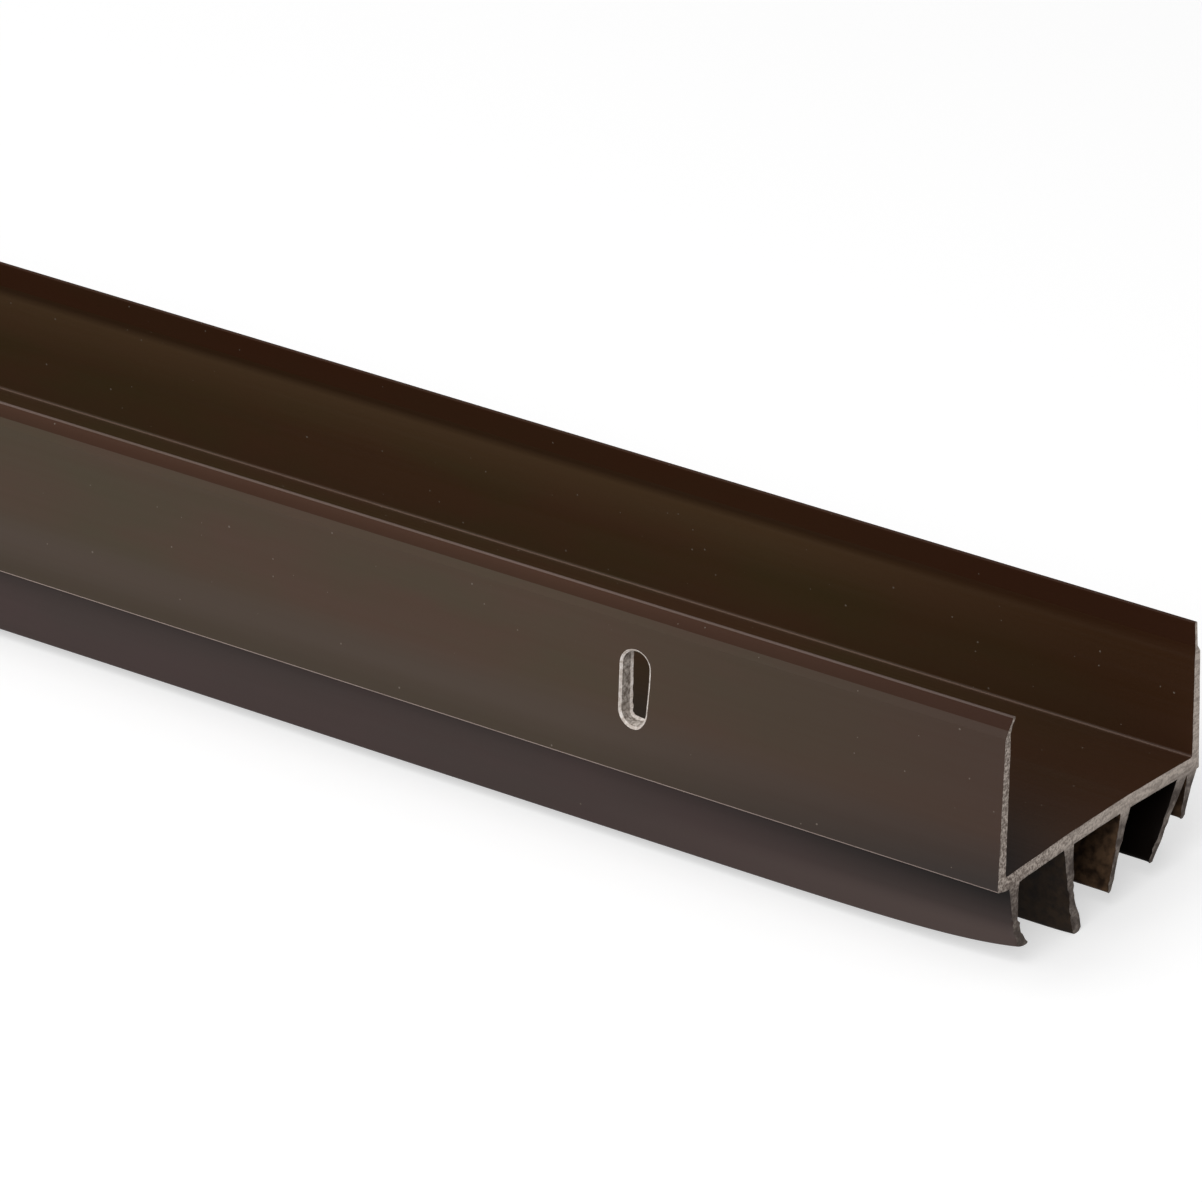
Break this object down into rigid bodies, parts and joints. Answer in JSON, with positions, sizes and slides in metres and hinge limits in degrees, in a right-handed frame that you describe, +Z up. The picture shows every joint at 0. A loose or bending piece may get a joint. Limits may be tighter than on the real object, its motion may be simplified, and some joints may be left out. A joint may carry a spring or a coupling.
{
  "type": "door bottom seal",
  "caption": "Slide-on vinyl door bottom seal: a U channel with inward lips for the door's lower edge, upright screw slots in one leg and leaning fins below that sweep the sill.",
  "frame": {"origin": "middle of the strip's length and width, at the level of the lowest fin tip", "axes": "+X along the strip towards the cut end that the picture shows, -Y out of the slotted leg, +Z up towards the door"},
  "size_m": [0.9144, 0.0485, 0.0384],
  "materials": {
    "brown_vinyl": "satin"
  },
  "bodies": {
    "root": {"door_bottom_seal": "brown_vinyl"}
  },
  "joints": []
}
